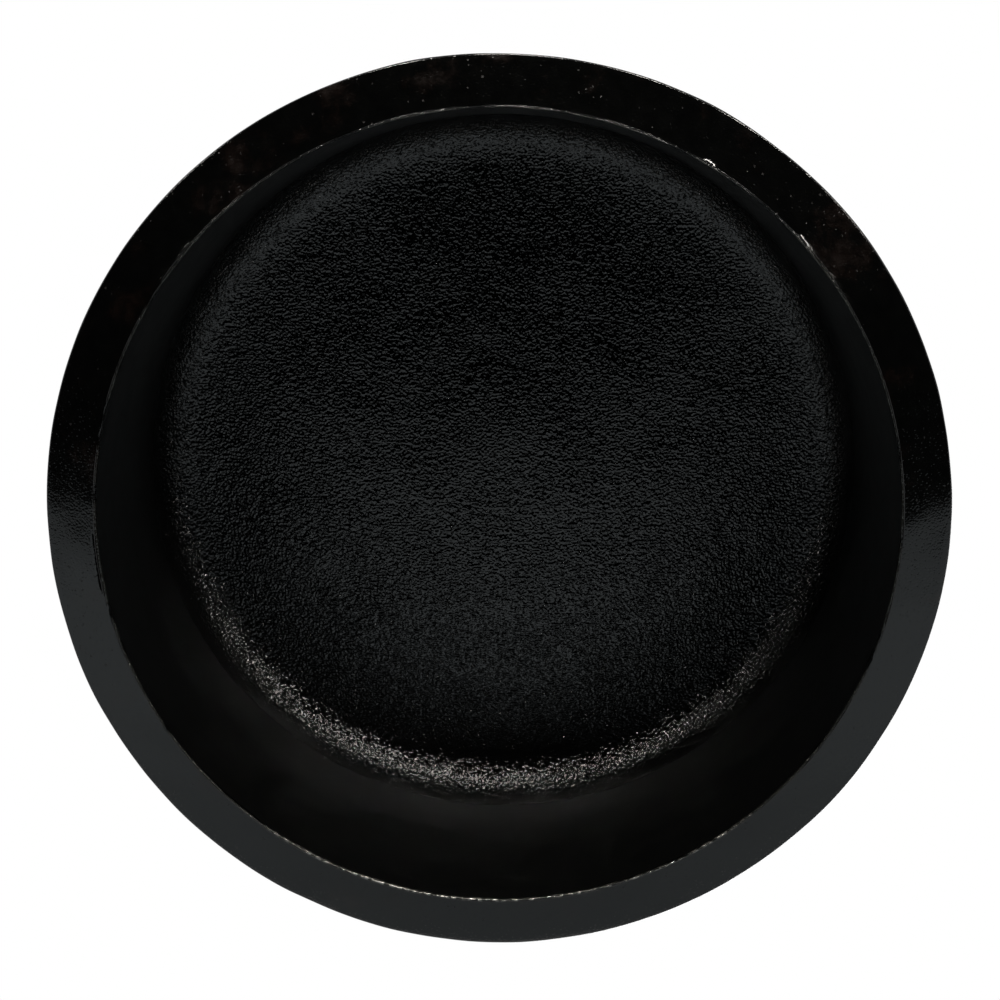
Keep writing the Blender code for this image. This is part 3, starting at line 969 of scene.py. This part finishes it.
def make_washer(number, joint):
    """The steel washer between a button and its screw's head."""
    x, y, _ = joint["pos_m"]
    low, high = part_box(f"button_washer_{number}")
    edge = 0.00015
    profile = [
        (SCREW_HOLE_R, low.z),
        (SCREW_HEAD_R - edge, low.z),
        (SCREW_HEAD_R, low.z + edge),
        (SCREW_HEAD_R, high.z - edge),
        (SCREW_HEAD_R - edge, high.z),
        (SCREW_HOLE_R, high.z),
    ]
    washer = finish_mesh(f"washer_{number}", turned(profile, 48), washer_steel)
    washer.location = (x, y, 0)
    place(washer, "base", "washer_steel", f"button_washer_{number}")


def make_screw(number, joint):
    """The slotted screw that a button turns on."""
    x, y, _ = joint["pos_m"]
    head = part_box(f"button_washer_{number}")[1].z + HEAD_GAP
    low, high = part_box(f"button_screw_{number}")
    side = head + 0.0009
    angles = [step * math.pi / 14 for step in range(7)]
    dome = [(SCREW_HEAD_R * math.cos(a), side + (high.z - side) * math.sin(a)) for a in angles]
    profile = [(0, low.z), (SCREW_R, low.z), (SCREW_R, head), (SCREW_HEAD_R, head), *dome, (0, high.z)]
    screw = finish_mesh("turned_screw", turned(profile, 48), fastener_brass)
    length, half_w = 0.01, SLOT_W / 2
    slot_bm = bmesh.new()
    outline = [(-length, -half_w), (length, -half_w), (length, half_w), (-length, half_w)]
    add_prism(slot_bm, outline, high.z - SLOT_DEPTH, 1)
    slot = finish_mesh("slot", slot_bm, None)
    slot.rotation_euler.z = math.atan2(y, x) + math.radians(35)
    bpy.context.view_layer.update()
    carve(screw, slot)
    screw.data.set_sharp_from_angle(angle=math.radians(SHARP_ANGLE))
    screw.name = f"slotted_screw_{number}"
    screw.location = (x, y, 0)
    ease_edges(screw, 0.00012, 2)
    place(screw, "base", "fastener_brass", f"button_screw_{number}")


# The studio


def circle(radius):
    """Places round the Z axis on the floor."""
    angles = [math.tau * i / FLOOR_STEPS for i in range(FLOOR_STEPS)]
    return [(radius * math.cos(a), radius * math.sin(a), 0) for a in angles]


def finish_flat(name, bm, paint):
    mesh = bpy.data.meshes.new(name)
    bm.to_mesh(mesh)
    bm.free()
    mesh.materials.append(paint)
    obj = bpy.data.objects.new(name, mesh)
    bpy.context.scene.collection.objects.link(obj)
    return obj


def make_floor():
    """A round pale floor that is open under the foot, and a lid for the opening."""
    opening = FOOT_R + FLOOR_GAP
    bm = bmesh.new()
    rings = [[bm.verts.new(spot) for spot in circle(radius)] for radius in (opening, 0.5, FLOOR_R)]
    for inner, outer in zip(rings, rings[1:]):
        for i in range(FLOOR_STEPS):
            j = (i + 1) % FLOOR_STEPS
            bm.faces.new((inner[i], outer[i], outer[j], inner[j]))
    floor = finish_flat("floor", bm, floor_paint)
    bm = bmesh.new()
    bm.faces.new([bm.verts.new(spot) for spot in circle(opening)])
    lid = finish_flat("floor_lid", bm, lid_paint)
    for kind in ("diffuse", "transmission", "volume_scatter"):
        setattr(lid, f"visible_{kind}", False)


def direction(north_tilt, east_tilt, up):
    """The direction that leans off the drum's axis by these angles, in degrees."""
    east, north = math.tan(math.radians(east_tilt)), math.tan(math.radians(north_tilt))
    return Vector((east, north, up)).normalized()


def add_light(name, where, size, radiance, colour=(1, 1, 1), away=None):
    """A soft panel. It faces the foot's centre, or away from the direction given."""
    data = bpy.data.lights.new(name, "AREA")
    data.shape = "RECTANGLE"
    data.size, data.size_y = size
    data.energy = radiance * math.pi * size[0] * size[1]
    data.color = colour
    light = bpy.data.objects.new(name, data)
    bpy.context.scene.collection.objects.link(light)
    light.location = where
    light.rotation_mode = "QUATERNION"
    light.rotation_quaternion = (away or where).to_track_quat("Z", "Y")
    light.visible_camera = False


def make_lights():
    """A curved row of small warm lamps and a broad cool panel under the floor, and two soft boxes above."""
    for number, (turn, radiance) in enumerate(LAMPS, 1):
        turned_by = Matrix.Rotation(math.radians(turn), 3, "Z")
        where = turned_by @ direction(LAMP_TILT, 0, -1) * LAMP_DISTANCE
        add_light(f"lamp_under_{number}", where, LAMP_SIZE, radiance, LAMP_COLOUR)
    down = Vector((0, 0, -1))
    for number, ((west, east), (north, south), radiance) in enumerate(PANELS, 1):
        middle = Vector(((west + east) / 2, (north + south) / 2, -PANEL_DEPTH))
        size = (east - west, north - south)
        add_light(f"panel_under_{number}", middle, size, radiance, PANEL_COLOUR, down)
    add_light("softbox_above", direction(-38, -32, 1) * 2.0, (1.5, 1.5), 5.0)
    add_light("fill_above", direction(30, 50, 1) * 2.4, (1.6, 1.2), 1.2)


def make_world():
    """White behind the object. Other rays find a soft sky above the floor and darkness under it."""
    world = bpy.data.worlds.new("studio")
    bpy.context.scene.world = world
    world.use_nodes = True
    tree = world.node_tree
    way = node(tree, "ShaderNodeTexCoord").outputs["Generated"]
    up = node(tree, "ShaderNodeSeparateXYZ", {0: way}).outputs[2]
    sky = ramp(tree, up, -0.02, 0.10, 0.0, 0.42)
    seen = node(tree, "ShaderNodeLightPath").outputs["Is Camera Ray"]
    strength = calc(tree, "MAXIMUM", seen, sky)
    background = tree.nodes["Background"]
    background.inputs["Color"].default_value = grey(1.0)
    tree.links.new(strength, background.inputs["Strength"])


def make_camera():
    """Looks up into the hollow from a little north of the drum's axis."""
    north_tilt, east_tilt = math.radians(11), math.radians(-1)
    distance = 8 * MOUTH_R
    aim = Vector((-0.0005, 0.0032, 0))
    data = bpy.data.cameras.new("camera")
    data.lens = 116.2
    data.sensor_width = 36
    data.clip_end = 60
    camera = bpy.data.objects.new("camera", data)
    bpy.context.scene.collection.objects.link(camera)
    back = Vector((math.sin(east_tilt), math.sin(north_tilt), -math.cos(north_tilt))).normalized()
    right = Vector((0, 1, 0)).cross(back).normalized()
    camera.matrix_world = Matrix((right, back.cross(right), back)).transposed().to_4x4()
    camera.location = aim + back * distance
    bpy.context.scene.camera = camera


def main():
    """Makes every piece. The felt and the gnomon's screws stay as they are packed, with better finishes."""
    make_drum()
    make_plate()
    make_ring()
    make_hour_lines()
    make_numerals()
    make_compass_rose()
    make_gnomon()
    make_rivets()
    for number, joint in enumerate(BUTTON_JOINTS, 1):
        make_button(number, joint)
        make_washer(number, joint)
        make_screw(number, joint)
    kept = {"felt_liner": felt, "gnomon_screw_1": fastener_brass, "gnomon_screw_2": fastener_brass}
    for name, finish in kept.items():
        frame["nodes"][name].data.materials.clear()
        frame["nodes"][name].data.materials.append(finish)
    make_floor()
    make_lights()
    make_world()
    make_camera()
    bpy.context.scene.view_settings.view_transform = "Standard"


main()
